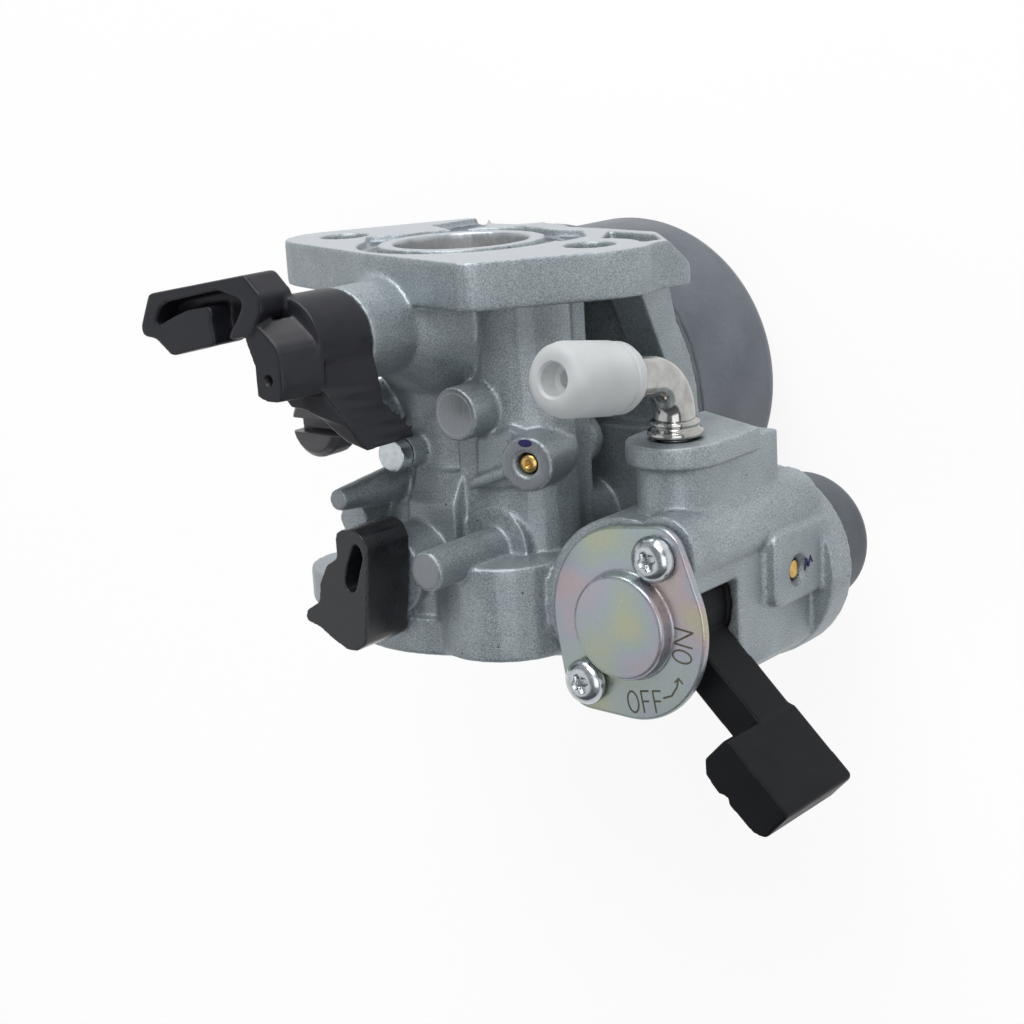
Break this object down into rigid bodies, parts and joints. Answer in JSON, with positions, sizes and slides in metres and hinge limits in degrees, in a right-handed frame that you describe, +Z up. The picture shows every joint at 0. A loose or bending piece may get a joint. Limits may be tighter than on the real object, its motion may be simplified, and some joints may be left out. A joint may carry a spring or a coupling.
{
  "type": "carburetor",
  "caption": "Float-bowl carburetor for a small engine, with upright throttle and choke shafts, black levers, a built-in fuel cock with sediment cup and a capped inlet elbow.",
  "frame": {"origin": "centre of the bore on the engine face", "axes": "+Y out of the engine face towards the engine, +Z up with the float bowl hanging below, +X towards the fuel cock"},
  "size_m": [0.0872, 0.0664, 0.0854],
  "materials": {
    "die_casting": "fine-grained die casting, satin",
    "bowl_metal": "smooth satin",
    "steel": "polished",
    "zinc_steel": "bright zinc plate",
    "yellow_zinc": "yellow zinc plate with a rainbow tint",
    "brass": "turned",
    "black_plastic": "satin moulded",
    "float_plastic": "matte moulded",
    "milky_plastic": "milky and translucent",
    "strainer_plastic": "moulded mesh",
    "rubber": "matte",
    "fibre": "pressed fibre"
  },
  "bodies": {
    "main": {"carburetor_body": "die_casting", "float_bowl": "bowl_metal", "bowl_gasket": "rubber", "bowl_bolt": "zinc_steel", "bowl_bolt_washer": "fibre", "drain_screw": "zinc_steel", "drain_washer": "fibre", "main_jet": "brass", "main_nozzle": "brass", "float_pin": "steel", "idle_stop_spring": "steel", "pilot_jet": "zinc_steel", "cock_plate": "yellow_zinc", "plate_screw_1": "zinc_steel", "plate_screw_2": "zinc_steel", "cock_packing": "rubber", "cock_wave_spring": "steel", "brass_plug": "brass", "sediment_cup": "bowl_metal", "cup_o_ring": "rubber", "fuel_strainer": "strainer_plastic", "fuel_elbow": "steel"},
    "throttle": {"throttle_shaft": "steel", "throttle_valve": "brass", "throttle_valve_screw": "steel", "throttle_lever": "black_plastic"},
    "choke": {"choke_shaft": "steel", "choke_valve": "brass", "choke_valve_screw": "steel", "choke_lever": "black_plastic"},
    "fuel_cock": {"fuel_lever": "black_plastic"},
    "float_arm": {"float": "float_plastic"},
    "needle": {"float_needle": "steel"},
    "idle_screw": {"idle_stop_screw": "black_plastic"},
    "mixture": {"mixture_screw": "brass"},
    "cap": {"inlet_cap": "milky_plastic"}
  },
  "joints": [
    {"name": "throttle_turn", "type": "hinge", "parent": "main", "child": "throttle", "pos_m": [0, -0.0089, 0], "axis": [0, 0, 1], "range_deg": [0, 75]},
    {"name": "choke_turn", "type": "hinge", "parent": "main", "child": "choke", "pos_m": [0, -0.0408, 0], "axis": [0, 0, 1], "range_deg": [-75, 0]},
    {"name": "fuel_lever_turn", "type": "hinge", "parent": "main", "child": "fuel_cock", "pos_m": [0.0335, -0.0436, 0.0022], "axis": [0, 0, 1], "range_deg": [-22, 38]},
    {"name": "float_swing", "type": "hinge", "parent": "main", "child": "float_arm", "pos_m": [0.0174, -0.0243, -0.0216], "axis": [0, 1, 0], "range_deg": [-6, 0]},
    {"name": "needle_slide", "type": "slide", "parent": "main", "child": "needle", "axis": [0, 0, 1], "range_m": [-0.0007, 0]},
    {"name": "idle_screw_turn", "type": "hinge", "parent": "main", "child": "idle_screw", "pos_m": [-0.0082, -0.0214, 0.018], "axis": [0, 0, 1], "range_deg": [-180, 180]},
    {"name": "mixture_screw_turn", "type": "hinge", "parent": "main", "child": "mixture", "pos_m": [0.0189, -0.0259, 0.0125], "axis": [0.2419, 0, 0.9703], "range_deg": [-180, 180]},
    {"name": "cap_pull", "type": "slide", "parent": "main", "child": "cap", "axis": [0, 0.1564, 0.9877], "range_m": [0, 0.016]}
  ],
  "couplings": [
    {"joint": "needle_slide", "follows": "float_swing", "m_per_rad": 0.006}
  ]
}
